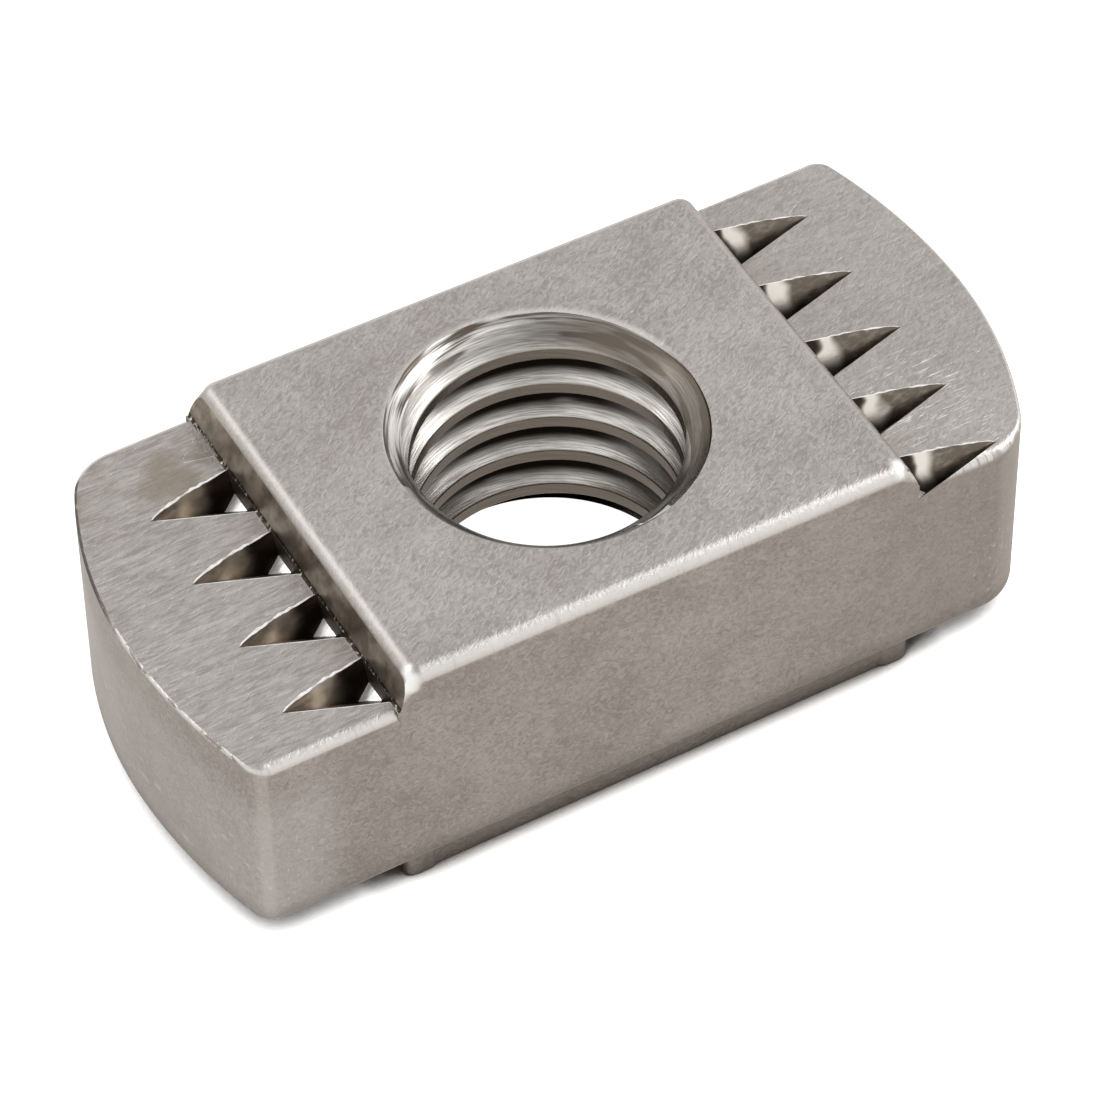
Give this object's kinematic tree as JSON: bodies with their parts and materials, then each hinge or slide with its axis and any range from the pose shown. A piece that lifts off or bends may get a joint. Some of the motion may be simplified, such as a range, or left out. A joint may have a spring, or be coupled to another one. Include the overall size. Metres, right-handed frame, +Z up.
{
  "type": "channel nut",
  "caption": "Forged steel channel nut with arc-shaped ends, a raised middle block, rows of punched notches on its shoulders and a threaded through hole.",
  "frame": {"origin": "under the middle of the outline, at the underside of the pad", "axes": "+X along the nut's length, +Z up through the threaded hole, +Y across"},
  "size_m": [0.0354, 0.0164, 0.0112],
  "materials": {
    "stainless": "tumbled, satin"
  },
  "bodies": {
    "root": {"channel_nut": "stainless"}
  },
  "joints": []
}
